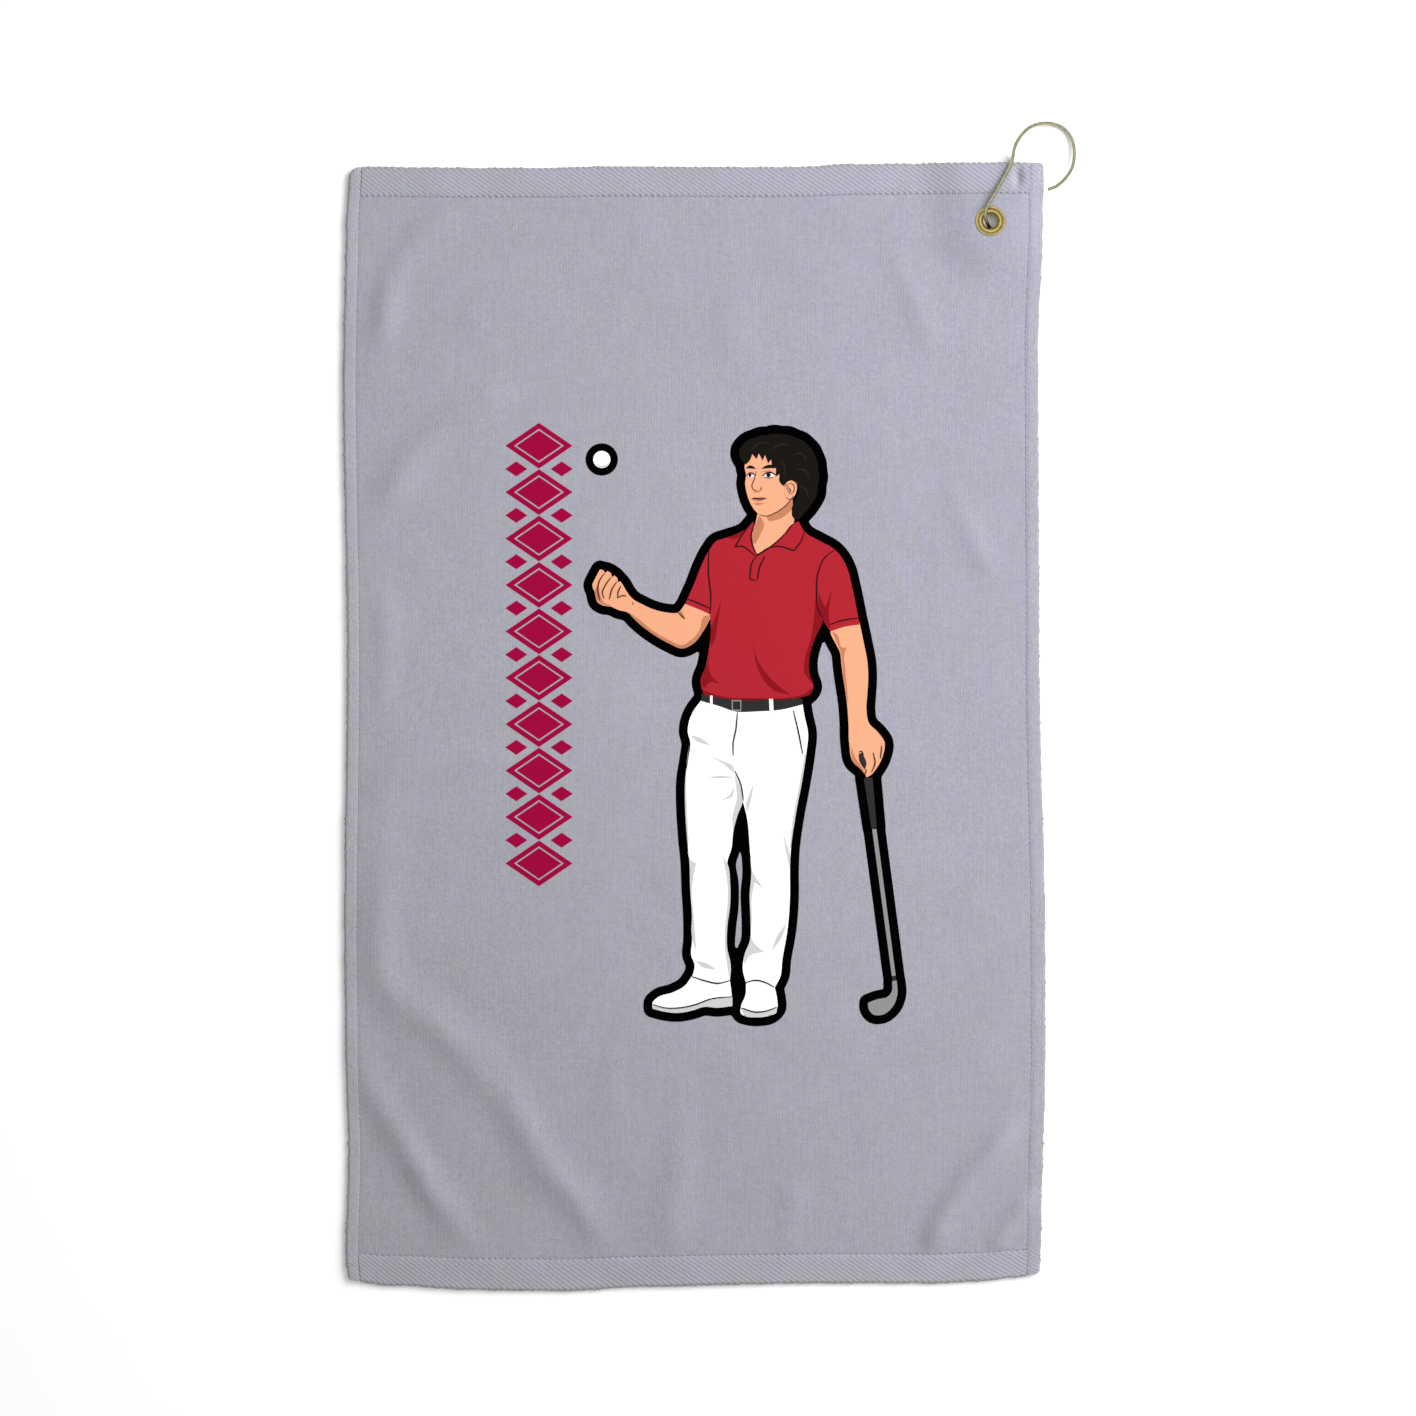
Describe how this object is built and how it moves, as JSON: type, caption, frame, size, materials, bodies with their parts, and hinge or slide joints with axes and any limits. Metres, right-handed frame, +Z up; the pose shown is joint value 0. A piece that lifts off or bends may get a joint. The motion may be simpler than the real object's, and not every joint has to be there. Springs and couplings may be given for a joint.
{
  "type": "golf towel",
  "caption": "Velour golf towel with flat woven hems, a decorative print, a brass grommet in one corner and a springy wire hook that swings in it for clipping to a bag ring.",
  "frame": {"origin": "middle of the towel's underside, on the surface it lies on", "axes": "+Z up out of the printed face, +Y along the towel's length towards the hook end, +X across its width towards the hook corner"},
  "size_m": [0.426, 0.6778, 0.0097],
  "materials": {
    "velour": "matte",
    "twill_hem": "matte",
    "thread": "matte",
    "print_ink": "matte",
    "brass": "polished",
    "hook_wire": "polished"
  },
  "bodies": {
    "towel": {"terry_panel": "velour", "top_hem": "twill_hem", "bottom_hem": "twill_hem", "right_hem": "twill_hem", "left_hem": "twill_hem", "top_hem_needle_thread": "thread", "top_hem_bobbin_thread": "thread", "bottom_hem_needle_thread": "thread", "bottom_hem_bobbin_thread": "thread", "right_hem_needle_thread": "thread", "right_hem_bobbin_thread": "thread", "left_hem_needle_thread": "thread", "left_hem_bobbin_thread": "thread", "grommet_eyelet": "brass", "grommet_washer": "brass"},
    "hook": {"wire_hook": "hook_wire"}
  },
  "joints": [
    {"name": "hook_swing", "type": "hinge", "parent": "towel", "child": "hook", "pos_m": [0.173, 0.293, 0], "axis": [0, 0, 1], "range_deg": [-3, 40]}
  ]
}
